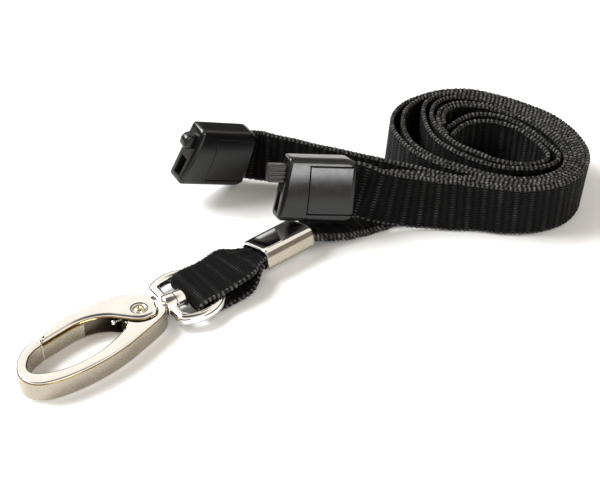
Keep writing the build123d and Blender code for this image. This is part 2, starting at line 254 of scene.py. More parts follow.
def webbing(name):
    """Black woven polyester: cross ribs of stacked yarn floats with painted highlights on their tops and
    painted shade between them, fibre noise, and painted highlights on the selvedge loops.
    UV.x is the distance along the strap and UV.y the distance across it, both in millimetres."""
    n = Nodes(name)
    uv = n.node("ShaderNodeUVMap", uv_map="strap").outputs["UV"]
    split = n.node("ShaderNodeSeparateXYZ")
    n.link(uv, split.inputs[0])
    along, across = split.outputs[0], split.outputs[1]
    wander = n.noise(uv, scale=0.9, detail=2.0)
    fibres = n.noise(uv, scale=14.0, detail=5.0, roughness=0.7)
    patches = n.noise(uv, scale=0.16, detail=3.0)

    # each rib is a column of yarn floats, and every other column is shifted by half a yarn
    wandered = n.add(along, n.times(n.math("SUBTRACT", wander, 0.5), 0.35))
    column = n.math("DIVIDE", wandered, RIB_PITCH)
    odd = n.math("MODULO", n.math("ABSOLUTE", n.math("FLOOR", column)), 2.0)
    row = n.add(n.math("DIVIDE", across, YARN_PITCH), n.times(odd, 0.5))
    row = n.add(row, n.times(wander, 0.5))
    rib_bow = n.math("SINE", n.times(n.math("FRACT", column), math.pi))
    yarn_bow = n.math("SINE", n.times(n.math("FRACT", row), math.pi))
    height = n.times(n.power(rib_bow, 0.55), n.power(yarn_bow, 0.7))
    relief = n.add(height, n.times(fibres, 0.25))

    # painted highlight on top of each float and painted shade between them, uneven by column, patch and
    # fibre
    float_painted_shading = n.times(n.power(height, 1.4), n.add(0.55, n.times(odd, 0.25)))
    float_painted_shading = n.times(float_painted_shading, n.add(0.45, patches))
    float_painted_shading = n.times(float_painted_shading, n.add(0.35, n.times(fibres, 1.3)))

    # painted highlight on the loops along both edges, some brighter than others
    edge = n.math("GREATER_THAN", n.math("ABSOLUTE", across), SELVEDGE_FROM)
    bead = n.math("ABSOLUTE", n.math("SINE", n.times(along, math.pi / BEAD_PITCH)))
    uneven = n.noise(uv, scale=1.7, detail=3.0, roughness=0.7)
    bead = n.times(n.power(bead, 3.0), n.mapped(uneven, 0.38, 0.66, 0.12, 1.5))
    yarn = n.node("ShaderNodeMix", data_type="RGBA")
    n.link(n.math("MULTIPLY", edge, bead, clamp=True), yarn.inputs["Factor"])
    n.link(n.ramp(float_painted_shading, YARN_PAINTED_SHADING_COLOURS), yarn.inputs[MIX_A])
    yarn.inputs[MIX_B].default_value = SELVEDGE_HIGHLIGHT_COLOUR

    n.surface(
        Base_Color=yarn.outputs[MIX_RESULT],
        Roughness=n.mapped(float_painted_shading, 0.0, 0.8, 0.75, 0.48),
        Specular_IOR_Level=0.07,
        Sheen_Weight=0.02,
        Sheen_Roughness=0.5,
        Normal=n.bump(relief, WEAVE_DEPTH),
    )
    return n.material


METAL_TOP = nickel("nickel_polished", 0.09, (0.94, 0.932, 0.918))
# the side walls' darker warm tint is a painted reflection of the darker room; the satin grain and roughness
# are their own
METAL_WALL = nickel("nickel_satin_painted_reflection", 0.27, (0.43, 0.385, 0.315), grain=0.5)
# painted shade for cut faces, bores and the boss between the gate's cheeks, and a painted dark reflection
# band on the ferrule
METAL_DARK = nickel("nickel_painted_shade_and_reflection", 0.4, (0.22, 0.19, 0.155), grain=0.6)
# dark gold line along the edge of a top rounding: painted reflection of the dark warm room
METAL_EDGE_REFLECTION = nickel("nickel_painted_edge_reflection", 0.16, (0.28, 0.19, 0.09))
METAL_WARM = nickel("nickel_rivet", 0.12, (0.72, 0.60, 0.42))
BLACK_PLASTIC = moulded_plastic("black_acetal", (0.0035, 0.0035, 0.0037), 0.21)
# darker, rougher plastic for cut faces: painted shade in the recess, channel and socket
DARK_PLASTIC = moulded_plastic("black_acetal_inside_painted_shade", (0.002, 0.002, 0.002), 0.55)
SMOKE_PLASTIC = moulded_plastic("smoke_acetal", (0.016, 0.0135, 0.011), 0.36)
WEBBING = webbing("black_webbing")

# material lists of hard pieces, and the places in them
METALS = [METAL_TOP, METAL_WALL, METAL_DARK, METAL_EDGE_REFLECTION]
TOP, WALL, DARK, PAINTED_EDGE_REFLECTION = range(4)
PLASTICS = [BLACK_PLASTIC, DARK_PLASTIC]
ONE_MATERIAL = (0, 0)

# ------------------------------------------------------------------ strap
STRAP_HALF_WIDTH = 4.9
STRAP_HALF_THICK = 0.29
UV_HALF_WIDTH = 5.0
STATION_STEP = 0.2
# the ribs fade into the selvedge's loops, and the section closes, at these shares of the half width
RIBS_END, RIBS_FADE = 0.86, 0.1
SELVEDGE_SHARE = 0.9
SELVEDGE_FULLNESS = 1.1
RIB_HEIGHT, RIB_REACH, RIB_ROUNDNESS = 0.2, 0.12, 0.6
BEAD_HEIGHT, BEAD_REACH, BEAD_ROUNDNESS = 0.10, 0.14, 1.5
PLEATS = 2.5
# places across the strap as shares of its half width, then the closed section: top face, bottom face
HALF_ACROSS = [0.2, 0.4, 0.6, 0.8, 0.91, 0.955, 0.985, 1.0]
ACROSS = [-v for v in reversed(HALF_ACROSS)] + [0.0] + HALF_ACROSS
SECTION = [(v, 1) for v in ACROSS] + [(v, -1) for v in reversed(ACROSS[1:-1])]

UPRIGHT = (0.0, 0.0, 1.0)
# the coil stands on its edge and leans a little; COIL_MID is the height of the strap's middle line in it
COIL_CENTRE = Vector((73.7, -1.3, 0.0))
COIL_AXIS = (0.065, -0.046, 1.0)
COIL_MID = 5.25
# height of the strap's slot above a buckle half's back
SLOT_Z = 1.66


def smooth_line(name, route):
    """Points, in metres, of the NURBS spline that has the route's points as its control points."""
    spline_settings = {"order_u": 3, "use_endpoint_u": True}
    mesh = curve_mesh(name, "NURBS", route, spline_settings, resolution_u=16)
    points = [v.co.copy() for v in mesh.vertices]
    bpy.data.meshes.remove(mesh)
    return points


def spaced(points, step):
    """Points at even distances along a polyline, and its whole length."""
    out, left, total = [points[0].copy()], step, 0.0
    for a, b in zip(points, points[1:]):
        run = (b - a).length
        total += run
        done = 0.0
        while run - done >= left:
            done += left
            out.append(a.lerp(b, done / run))
            left = step
        left -= run - done
    return out, total


def smoothstep(t):
    t = min(1.0, max(0.0, t))
    return t * t * (3 - 2 * t)


def keyed(keys, at):
    """Value between (place, value) keys; a value is a number or a direction."""
    if at <= keys[0][0]:
        return keys[0][1]
    for (p0, v0), (p1, v1) in zip(keys, keys[1:]):
        if at <= p1:
            t = smoothstep((at - p0) / (p1 - p0))
            return v0.lerp(v1, t) if isinstance(v0, Vector) else v0 + (v1 - v0) * t
    return keys[-1][1]


def humps(s, pitch, exponent):
    """Row of rounded humps along s, between 0 and 1."""
    return abs(math.sin(math.pi * s / pitch)) ** exponent


def thickness_at(v):
    """Share of the thickness: whole inside, a little more where the selvedge starts, then closing."""
    if abs(v) < SELVEDGE_SHARE:
        return 1.0
    into = (abs(v) - SELVEDGE_SHARE) / (1 - SELVEDGE_SHARE)
    return math.sqrt(max(0.0, 1.0 - into ** 2)) * SELVEDGE_FULLNESS


def strap_section(s, phase, squeeze, pucker):
    """Outline of the strap at s along it, as (across, out) pairs."""
    bead = humps(s + phase, BEAD_PITCH, BEAD_ROUNDNESS)
    # slow unevenness of the width
    drift = 0.04 * math.sin(s * 0.31 + phase) + 0.03 * math.sin(s * 0.83 + 2 * phase)
    outline = []
    for v, face in SECTION:
        other_side = 0.0 if face > 0 else RIB_PITCH / 2
        rib = humps(s + phase + other_side, RIB_PITCH, RIB_ROUNDNESS)
        near_edge = smoothstep((abs(v) - RIBS_END) / RIBS_FADE)
        thickness = thickness_at(v)
        half = STRAP_HALF_THICK * thickness
        if abs(v) < 1:
            half += RIB_HEIGHT * (rib - 0.5) * (1 - near_edge) + BEAD_HEIGHT * bead * near_edge * thickness
        reach = STRAP_HALF_WIDTH + drift + (BEAD_REACH * bead + RIB_REACH * rib) * near_edge
        lift = pucker * math.cos(v * math.pi * PLEATS)
        outline.append((reach * v * squeeze, face * half + lift))
    return outline


def width_keys(route, stations):
    """(index of the nearest station, direction of the strap's width) for the points of the route."""
    keys, search_from = [], 0
    for point, direction in route:
        at = Vector(point) * MM
        best = min(range(search_from, len(stations)), key=lambda i: (stations[i] - at).length_squared)
        search_from = best
        if not keys or best > keys[-1][0]:
            keys.append((best, Vector(direction).normalized()))
    return keys


def weave_strap(name, route, phase, gather=None):
    """Woven strap along a route of (point, direction of its width): ribs across it and looped selvedges.
    gather gives the (squeeze, pucker) of the section from the distance along and the whole length.
    Returns the piece, its centre line and its length in metres."""
    stations, total = spaced(smooth_line(name, [point for point, _ in route]), STATION_STEP * MM)
    keys = width_keys(route, stations)
    verts, uvs = [], []
    count = len(stations)
    for i, place in enumerate(stations):
        ahead = (stations[min(count - 1, i + 1)] - stations[max(0, i - 1)]).normalized()
        width = keyed(keys, i)
        width = (width - ahead * width.dot(ahead)).normalized()
        out = ahead.cross(width)
        s = i * STATION_STEP
        squeeze, pucker = gather(s, total / MM) if gather else (1.0, 0.0)
        for (v, _), (across, up) in zip(SECTION, strap_section(s, phase, squeeze, pucker)):
            verts.append(place + width * (across * MM) + out * (up * MM))
            uvs.append((s + phase, v * UV_HALF_WIDTH))
    n = len(SECTION)
    faces = [
        (i * n + j, i * n + (j + 1) % n, (i + 1) * n + (j + 1) % n, (i + 1) * n + j)
        for i in range(count - 1) for j in range(n)
    ]
    faces.append(tuple(reversed(range(n))))
    faces.append(tuple(range((count - 1) * n, count * n)))
    mesh = bpy.data.meshes.new(name)
    mesh.from_pydata(verts, [], faces)
    layer = mesh.uv_layers.new(name="strap")
    for corner in mesh.loops:
        layer.data[corner.index].uv = uvs[corner.vertex_index]
    mesh.polygons.foreach_set("use_smooth", [True] * len(mesh.polygons))
    mesh.update()
    mesh.materials.append(WEBBING)
    return linked(name, mesh), stations[::4] + [stations[-1]], total


def tilted_frame(origin, heading, pitch, lean):
    """Origin and axes of a buckle half: along it, across its width, and out of its front face."""
    h, p, a = (math.radians(v) for v in (heading, pitch, lean))
    along = Vector((math.cos(h) * math.cos(p), math.sin(h) * math.cos(p), math.sin(p)))
    upward = (Vector((0, 0, 1)) - along * along.z).normalized()
    sideways = along.cross(upward)
    across = upward * math.cos(a) - sideways * math.sin(a)
    return Vector(origin), along, across, along.cross(across)


def in_buckle(half, x, y, z):
    """World place, in millimetres, of a point given in a buckle half's axes."""
    origin, along, across, out = half
    return origin + along * x + across * y + out * z


BUCKLE_A = tilted_frame((33.4, 9.4, 9.9), -23, -10, 20)
BUCKLE_B = tilted_frame((25.0, 28.1, 11.0), -4, -21, -3)


def around(turns):
    """Coil points from (angle in degrees, radius) pairs, with the strap standing on its edge."""
    points = []
    for angle, radius in turns:
        a = math.radians(angle)
        place = COIL_CENTRE + Vector((radius * math.cos(a), radius * math.sin(a), COIL_MID))
        points.append((place, COIL_AXIS))
    return points


# radius of each leg of the strap as it winds, by angle; the entry is at the front left
COIL_A = [
    (-133, 15.5), (-115, 16.9), (-97, 18.3), (-80, 19.3), (-62, 19.1), (-45, 17.9), (-28, 16.3), (-10, 15.4),
    (10, 14.7), (30, 14.8), (48, 16.0), (65, 17.8), (82, 18.8), (100, 19.5), (115, 19.5), (130, 18.5),
    (145, 16.5), (160, 15.0), (178, 13.4), (198, 12.3), (218, 12.2), (236, 13.3), (252, 14.7), (268, 16.0),
    (285, 16.6), (302, 15.7), (318, 13.8), (335, 12.3), (352, 11.4), (370, 10.9), (390, 10.9), (408, 11.7),
    (424, 12.9), (440, 13.6), (455, 13.0), (470, 10.8), (483, 8.9), (494, 7.6),
]
COIL_B = [
    (-140, 14.6), (-118, 15.9), (-97, 17.6), (-80, 18.6), (-62, 18.3), (-45, 17.0), (-28, 15.4), (-10, 14.4),
    (10, 13.7), (30, 13.8), (48, 15.1), (65, 17.0), (82, 18.1), (98, 18.5), (112, 17.9), (126, 16.5),
    (142, 15.1), (157, 13.8), (175, 12.4), (196, 11.3), (218, 11.3), (236, 12.5), (252, 13.9), (268, 15.3),
    (285, 15.9), (302, 14.8), (318, 12.8), (335, 11.3), (352, 10.4), (370, 9.9), (390, 9.9), (408, 10.8),
    (424, 12.0), (438, 12.6), (450, 12.3), (462, 10.8), (474, 9.0),
]
COIL_C1 = [
    (-140, 13.7), (-118, 15.2), (-97, 16.9), (-80, 17.9), (-62, 17.6), (-45, 16.2), (-28, 14.5), (-10, 13.4),
    (10, 12.8), (30, 12.9), (48, 14.2), (65, 16.2), (80, 17.4), (92, 17.2), (103, 15.4), (114, 13.2),
    (127, 11.6), (143, 10.0), (160, 8.8), (180, 7.9), (202, 7.7), (222, 8.3), (241, 9.4), (258, 10.9),
    (273, 12.4), (286, 13.6), (296, 13.9), (304, 12.8), (314, 10.9), (328, 9.4), (345, 8.5), (365, 8.2),
    (387, 8.2), (408, 8.5), (428, 8.6), (446, 8.2), (462, 8.0), (476, 8.1),
]
COIL_C2 = [
    (-142, 13.0), (-120, 14.4), (-97, 16.2), (-80, 17.2), (-62, 16.8), (-45, 15.4), (-28, 13.7), (-10, 12.5),
    (10, 11.9), (30, 12.0), (48, 13.3), (64, 15.0), (78, 15.9), (90, 15.4), (102, 13.6), (114, 11.4),
    (126, 9.3), (140, 7.8), (158, 6.5), (178, 5.7), (200, 5.4), (220, 6.0), (240, 7.4), (258, 9.2),
    (272, 10.8), (284, 11.8), (293, 12.0), (302, 10.9), (314, 9.2), (330, 7.7), (350, 6.8), (372, 6.3),
    (395, 6.1), (416, 6.1), (438, 6.4), (458, 6.3), (476, 6.3), (492, 6.7),
]


across_a, across_b = BUCKLE_A[2], BUCKLE_B[2]
route_a = [
    (in_buckle(BUCKLE_A, 8.0, 0, SLOT_Z), across_a), (in_buckle(BUCKLE_A, 14.5, 0, SLOT_Z), across_a),
    ((48.6, -0.9, 6.8), (0.14, 0.16, 1.0)), ((53.4, -4.0, 5.6), (0.13, 0.13, 1.0)),
    ((58.2, -8.1, 5.2), (0.09, 0.05, 1.0)),
] + around(COIL_A)
route_b = [
    (in_buckle(BUCKLE_B, 8.0, 0, SLOT_Z), across_b), (in_buckle(BUCKLE_B, 14.5, 0, SLOT_Z), across_b),
    ((42.2, 20.9, 5.6), (0.1, 0.0, 1.0)), ((47.2, 14.3, 5.2), UPRIGHT), ((51.6, 7.3, COIL_MID), UPRIGHT),
    ((55.6, 1.4, COIL_MID), UPRIGHT), ((59.0, -4.6, COIL_MID), UPRIGHT),
] + around(COIL_B)


def tail_route(side, coil):
    """From inside the ferrule, flat under the front buckle half, then up on edge and into the coil.
    side is -1 for the lower, outer tail and 1 for the other."""
    flat = 0.36 * side
    return [
        ((29.0, 2.4, 2.6 + flat), (0.0, 0.98, -0.2)), ((33.5, 2.8, 2.6 + flat), (0.0, 0.98, -0.2)),
        ((38.6, 3.1, 1.6 + flat), (0.05, 1.0, -0.04)), ((43.6, 3.2, 0.9 + flat), (0.1, 1.0, 0.0)),
        ((47.8, 2.7, 1.8 + flat), (0.3, 0.9, 0.35)), ((51.4, 1.0 + 0.3 * side, 4.3), (0.3, 0.45, 1.0)),
        ((55.2 + 0.3 * side, -2.6 + 0.2 * side, COIL_MID), (0.1, 0.1, 1.0)),
        ((59.2 + 0.3 * side, -7.6 + 0.2 * side, COIL_MID), COIL_AXIS),
    ] + around(coil)


def tail_gather(s, _):
    """Squeezed and pleated inside the ferrule, full width a little way past it."""
    return 0.58 + 0.42 * smoothstep((s - 5.0) / 10.0), 0.22 * (1 - smoothstep((s - 5.5) / 8.0))


for name, route, phase, nodes, gather in (
    ("strap_leg_a", route_a, 0.0, ("strap_end_a", "strap_coil"), None),
    ("strap_leg_b", route_b, 0.4, ("strap_end_b",), None),
    ("strap_leg_c1", tail_route(-1, COIL_C1), 0.9, ("strap_tail_1",), tail_gather),
    ("strap_leg_c2", tail_route(1, COIL_C2), 1.7, ("strap_tail_2",), tail_gather),
):
    piece, path, total = weave_strap(name, route, phase, gather)
    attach(piece, "strap")
    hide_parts(*nodes)


# ------------------------------------------------------------------ outlines
def through(points):
    """Smooth open outline through the given points (Catmull-Rom)."""
    per_span = 10
    pts = [Vector(p) for p in points]
    pts = [pts[0] * 2 - pts[1]] + pts + [pts[-1] * 2 - pts[-2]]
    out = []
    for a, b, c, d in zip(pts, pts[1:], pts[2:], pts[3:]):
        for t in (k / per_span for k in range(per_span)):
            square, cube = (a * 2 - b * 5 + c * 4 - d) * t * t, (b * 3 - a - c * 3 + d) * t ** 3
            out.append((b * 2 + (c - a) * t + square + cube) / 2)
    out.append(pts[-2])
    return out


def arc(cx, cy, radius, start, end, count):
    """Points of an arc; angles in degrees."""
    return [
        Vector((cx + radius * math.cos(a), cy + radius * math.sin(a)))
        for a in (math.radians(start + (end - start) * i / count) for i in range(count + 1))
    ]


def rounded_rectangle(x0, y0, x1, y1, radii, count):
    """Corner radii in the order low-left, low-right, high-right, high-left."""
    r0, r1, r2, r3 = radii
    return (
        arc(x0 + r0, y0 + r0, r0, 180, 270, count) + arc(x1 - r1, y0 + r1, r1, 270, 360, count)
        + arc(x1 - r2, y1 - r2, r2, 0, 90, count) + arc(x0 + r3, y1 - r3, r3, 90, 180, count)
    )


def rectangle(x0, y0, x1, y1):
    return [(x0, y0), (x1, y0), (x1, y1), (x0, y1)]


def subdivided(ring, longest):
    """Ring with points added along its longer sides."""
    dense = []
    for a, b in zip(ring, ring[1:] + ring[:1]):
        cuts = max(1, int((b - a).length / longest))
        dense += [a.lerp(b, k / cuts) for k in range(cuts)]
    return dense


def cleaned(ring, material_left):
    """Ring without doubled points, turned so the material lies on its left."""
    ring = [Vector(p) for p in ring]
    ring = [p for i, p in enumerate(ring) if (p - ring[i - 1]).length > 0.02]
    area = sum(a.x * b.y - b.x * a.y for a, b in zip(ring, ring[1:] + ring[:1]))
    return ring if (area > 0) == material_left else ring[::-1]


def inset(ring, distance):
    """Ring moved into the material, with its sharpest corners held back."""
    if distance < 1e-6:
        return ring
    out = []
    for i, p in enumerate(ring):
        before = (p - ring[i - 1]).normalized()
        after = (ring[(i + 1) % len(ring)] - p).normalized()
        normal = Vector((-before.y - after.y, before.x + after.x)).normalized()
        stretch = 1.0 / max(0.6, normal.dot(Vector((-after.y, after.x))))
        out.append(p + normal * distance * min(stretch, 1.4))
    return out


# ------------------------------------------------------------------ solid shapes
def flat_map(x, y, z):
    return Vector((x, y, z))


def add_face(bm, corners, material=0):
    """Face over the corners, some of which may be the same vertex."""
    unique = [v for k, v in enumerate(corners) if v not in corners[:k]]
    if len(unique) > 2:
        bm.faces.new(unique).material_index = material


def plate(outline, z0, z1, top_round=0.0, low_round=0.0, holes=(), place=flat_map, levels=1, steps=5,
          mats=(TOP, WALL, PAINTED_EDGE_REFLECTION), vary=None):
    """Closed plate with rounded edges, as a bmesh in metres.
    levels: rows of faces up the wall; steps: rows in each rounding.
    mats: caps and rounded edges, side walls, and the line where the top rounding meets the wall, which takes
    a painted dark reflection.
    vary: gives the share of the top rounding that a point of the outline gets."""
    rings = [cleaned(outline, True)] + [cleaned(hole, False) for hole in holes]
    profile = []
    for k in range(steps + 1 if low_round else 1):
        a = math.pi / 2 * k / steps
        profile.append((low_round * (1 - math.sin(a)), z0 + low_round * (1 - math.cos(a))))
    for k in range(1, levels):
        profile.append((0.0, z0 + low_round + (z1 - top_round - z0 - low_round) * k / levels))
    first_wall = steps if low_round else 0
    first_top = len(profile)
    first_plain = first_top + max(2, steps // 2)
    for k in range(steps + 1 if top_round else 1):
        a = math.pi / 2 * k / steps
        profile.append((top_round * (1 - math.cos(a)), z1 - top_round * (1 - math.sin(a))))

    bm = bmesh.new()
    low_cap, high_cap = [], []
    for ring in rings:
        rows = []
        for shift, z in profile:
            high = z > (z0 + z1) / 2
            row = []
            for p, q in zip(ring, inset(ring, shift)):
                share = vary(p) if vary and high else 1.0
                at = p.lerp(q, share)
                row.append(bm.verts.new(place(at.x, at.y, z1 - (z1 - z) * share if high else z) * MM))
            rows.append(row)
        for k, (low, high) in enumerate(zip(rows, rows[1:])):
            material = mats[0]
            if first_wall <= k < first_top:
                material = mats[1]
            elif top_round and first_top <= k < first_plain:
                material = mats[2] if len(mats) > 2 else mats[0]
            for i in range(len(ring)):
                j = (i + 1) % len(ring)
                bm.faces.new((low[i], low[j], high[j], high[i])).material_index = material
        low_cap.append((rows[0], inset(ring, profile[0][0])))
        high_cap.append((rows[-1], inset(ring, profile[-1][0])))
    for cap in (low_cap, high_cap):
        verts = [v for row, _ in cap for v in row]
        flat = [[Vector((p.x, p.y, 0.0)) for p in ring] for _, ring in cap]
        for triangle in tessellate_polygon(flat):
            if len(set(triangle)) == 3:
                try:
                    bm.faces.new([verts[i] for i in triangle]).material_index = mats[0]
                except ValueError:  # the tessellation gave the same triangle twice
                    continue
    bmesh.ops.recalc_face_normals(bm, faces=bm.faces)
    return bm


def lathe(profile, origin, axis, material=0, segments=64):
    """Closed revolved shape, as a bmesh in metres, from (distance along the axis, radius) pairs."""
    bm = bmesh.new()
    axis = Vector(axis).normalized()
    side = axis.orthogonal().normalized()
    other = axis.cross(side)
    rows = []
    for along, radius in profile:
        centre_at = Vector(origin) + axis * along
        if radius < 1e-6:
            rows.append([bm.verts.new(centre_at * MM)])
            continue
        rows.append([
            bm.verts.new((centre_at + (side * math.cos(a) + other * math.sin(a)) * radius) * MM)
            for a in (2 * math.pi * i / segments for i in range(segments))
        ])
    bands = list(zip(rows, rows[1:]))
    if len(rows[0]) > 1 and len(rows[-1]) > 1:
        bands.append((rows[-1], rows[0]))
    for low, high in bands:
        for i in range(segments):
            j = (i + 1) % segments
            corners = (low[i % len(low)], low[j % len(low)], high[j % len(high)], high[i % len(high)])
            add_face(bm, corners, material)
    bmesh.ops.recalc_face_normals(bm, faces=bm.faces)
    return bm


def as_piece(name, bms, materials):
    """One object from several bmeshes, which are used up."""
    mesh = bpy.data.meshes.new(name)
    whole = bmesh.new()
    for bm in bms:
        part = bpy.data.meshes.new(name + "_part")
        bm.to_mesh(part)
        bm.free()
        whole.from_mesh(part)
        bpy.data.meshes.remove(part)
    whole.to_mesh(mesh)
    whole.free()
    for material in materials:
        mesh.materials.append(material)
    return linked(name, mesh)


def tool(outline, z0, z1, material, place=flat_map):
    """Plain plate to cut with."""
    return as_piece("tool", [plate(outline, z0, z1, place=place, mats=ONE_MATERIAL)], [material])


def carve(piece, tools):
    """Subtract the tools, which are used up; the cut faces take the tools' material."""
    for cutting in tools:
        cut = piece.modifiers.new("cut", "BOOLEAN")
        cut.operation = "DIFFERENCE"
        cut.solver = "EXACT"
        cut.object = cutting
    mesh = evaluated_mesh(piece)
    piece.modifiers.clear()
    piece.data = mesh
    for cutting in tools:
        bpy.data.objects.remove(cutting)


def finish_hard(piece, body, nodes=(), edge=0.0, sharp=38.0):
    """Smooth shading with crisp creases, small rounded edges where asked, and the piece's body."""
    mesh = piece.data
    mesh.polygons.foreach_set("use_smooth", [True] * len(mesh.polygons))
    mesh.set_sharp_from_angle(angle=math.radians(sharp))
    if edge:
        bevel = piece.modifiers.new("edge", "BEVEL")
        bevel.width = edge * MM
        bevel.segments = 2
        bevel.limit_method = "ANGLE"
        bevel.angle_limit = math.radians(50)
        bevel.harden_normals = True
    weigh = piece.modifiers.new("weigh", "WEIGHTED_NORMAL")
    weigh.keep_sharp = True
    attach(piece, body)
    if nodes:
        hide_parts(*nodes)


# ------------------------------------------------------------------ trigger hook
# the rivet's axis is at x = y = 0; the tools that open a face start outside the metal
HOOK_THICK = 4.0
BOSS_LOW, BOSS_HIGH = 0.7, 3.3
BOSS_RADIUS = 3.2
GATE_SLOT = (0.6, 3.4)
SPRING_SEAT = (2.3, 3.5)
SPRING_RADIUS, SPRING_BASE, SPRING_RISE = 1.45, 2.5, 0.62
SPRING_STEPS, SPRING_STEP = 72, 15
HOOK_OUTER = [
    (-17.3, 2.9), (-19.6, 2.3), (-21.9, 0.3), (-23.2, -2.4), (-23.0, -5.2), (-21.1, -7.1),
    (-17.0, -8.0), (-11.6, -7.9), (-6.6, -7.0), (-2.4, -5.6), (1.6, -4.1), (3.2, -3.2),
]
HOOK_NECK = [(3.75, -2.5), (3.9, -2.2), (3.9, 1.4), (3.7, 1.65), (2.6, 1.9)]
HOOK_INNER = [
    (-3.1, 0.4), (-3.6, -2.2), (-5.8, -3.7), (-10.0, -5.3), (-14.2, -5.9), (-18.0, -5.5),
    (-20.8, -4.2), (-21.4, -2.5), (-20.2, -0.4), (-18.7, 0.7), (-17.0, 1.3),
]
GATE_OUTER = [(-16.75, 2.75), (-14.6, 3.8), (-12.0, 4.75), (-8.0, 5.45), (-4.0, 5.45), (-0.6, 4.9)]
GATE_SHOULDER = [(1.0, 3.95), (2.2, 2.9), (2.9, 1.9)]
GATE_HEEL = [(1.0, -2.78), (0.4, -2.75), (-0.4, -2.7), (-1.2, -2.35)]
GATE_INNER = [
    (-2.2, -1.6), (-3.6, -0.2), (-5.2, 1.3), (-7.4, 2.3), (-10.0, 2.6), (-13.2, 2.1), (-16.9, 1.35),
]
# y of the gate's middle line by x
GATE_MIDDLE = [(-17.0, 2.2), (-12.0, 3.6), (-8.0, 3.9), (-4.0, 2.8), (-2.0, 1.6), (0.0, 0.9), (3.0, 0.0)]
RIVET = [
    (0.0, 0.0), (0.0, 0.95), (0.06, 1.03), (0.25, 1.05), (0.3, 0.75), (3.66, 0.75), (3.67, 0.92),
    (3.72, 0.96), (3.84, 0.95), (3.95, 0.88), (4.05, 0.74), (4.12, 0.56), (4.14, 0.42), (4.1, 0.3),
    (4.03, 0.2), (3.99, 0.1), (3.98, 0.0),
]
RIVET_COLLAR = [
    (3.6, 1.06), (3.86, 1.08), (3.93, 1.14), (3.95, 1.2), (3.93, 1.27), (3.86, 1.32), (3.6, 1.33),
]
SPRING_LEG = [
    (-1.9, 0.42, 2.95), (-2.6, 0.48, 2.85), (-3.4, 0.52, 2.8), (-4.0, 0.55, 2.8), (-4.6, 0.55, 2.8),
]
UP = (0, 0, 1)

hook_line = through(HOOK_OUTER) + [Vector(p) for p in HOOK_NECK] + through(HOOK_INNER)
hook_plate = plate(hook_line, 0.0, HOOK_THICK, top_round=0.42, low_round=0.42)
hook = as_piece("hook_bar", [hook_plate], METALS)
# round seats for the gate's two cheeks, and one for the spring
seats = []
for low, high in ((-0.5, BOSS_LOW), (BOSS_HIGH, 4.5)):
    seats.append(tool(arc(0, 0, 3.65, 0, 350, 40), low, high, METAL_TOP))
    seats.append(tool(arc(-1.0, 1.8, 4.1, 0, 350, 40), low, high, METAL_TOP))
# the spring seat's faces take painted shade
seats.append(tool(arc(0, 0, 2.0, 0, 350, 30), *SPRING_SEAT, METAL_DARK))
carve(hook, seats)
finish_hard(hook, "hook", ["hook_body"], edge=0.09)

boss_hole = arc(0, 0, 0.76, 0, 345, 24)
# the whole boss is in painted shade, between the gate's cheeks
boss_plate = plate(
    arc(0, 0, BOSS_RADIUS, 0, 354, 60), BOSS_LOW, BOSS_HIGH, top_round=0.1, low_round=0.1,
    holes=[boss_hole], mats=(DARK, DARK),
)
boss = as_piece("hook_boss", [boss_plate], METALS)
carve(boss, [tool(arc(0, 0, 2.0, 0, 350, 30), *SPRING_SEAT, METAL_DARK)])
finish_hard(boss, "hook")


def inner_side(p):
    """Wide rounding along the gate's inner edge, narrow along its back."""
    return 0.3 + 0.7 * smoothstep(keyed(GATE_MIDDLE, p.x) + 0.5 - p.y)


gate_lobe = arc(0, 0, BOSS_RADIUS, 22, -60, 22)[1:]
gate_line = (
    through(GATE_OUTER) + [Vector(p) for p in GATE_SHOULDER] + gate_lobe
    + [Vector(p) for p in GATE_HEEL] + through(GATE_INNER)
)
gate_plate = plate(gate_line, 0.0, HOOK_THICK, top_round=0.95, low_round=0.4, steps=8, vary=inner_side)
gate = as_piece("gate_lever", [gate_plate], METALS)
# room for the boss and the spring between the cheeks, then the rivet's bore and its two seats, their cut
# faces in painted shade
carve(gate, [
    tool(arc(0, 0, 3.55, 0, 354, 60), *GATE_SLOT, METAL_DARK),
    tool(rectangle(-8.9, -0.3, -2.3, 3.1), *GATE_SLOT, METAL_DARK),
    tool(rectangle(-4.4, -2.8, 1.6, 0.8), *GATE_SLOT, METAL_DARK),
    tool(arc(0, 0, 0.8, 0, 345, 30), -1.0, 5.0, METAL_DARK),
    tool(arc(0, 0, 1.5, 0, 352, 44), 3.65, 5.0, METAL_DARK),
    tool(arc(0, 0, 1.1, 0, 350, 36), -1.0, 0.35, METAL_DARK),
])
finish_hard(gate, "gate", ["gate"], edge=0.07)

rivet_shapes = [lathe(RIVET, (0, 0, 0), UP), lathe(RIVET_COLLAR, (0, 0, 0), UP, material=1)]
rivet = as_piece("rivet_head", rivet_shapes, [METAL_WARM, METAL_TOP])
finish_hard(rivet, "hook", ["gate_rivet"])


def wire(name, points, radius, ball):
    """Round wire along points, with a ball on its end."""
    mesh = curve_mesh(
        name, "POLY", points, {"use_smooth": True},
        bevel_depth=radius * MM, bevel_resolution=4, use_fill_caps=True,
    )
    bm = bmesh.new()
    bm.from_mesh(mesh)
    bpy.data.meshes.remove(mesh)
    half_turn = [math.pi * k / 12 for k in range(13)]
    ball_profile = [(-ball * math.cos(a), ball * math.sin(a)) for a in half_turn]
    return as_piece(name, [bm, lathe(ball_profile, points[-1], (1, 0, 0), segments=24)], [METAL_TOP])


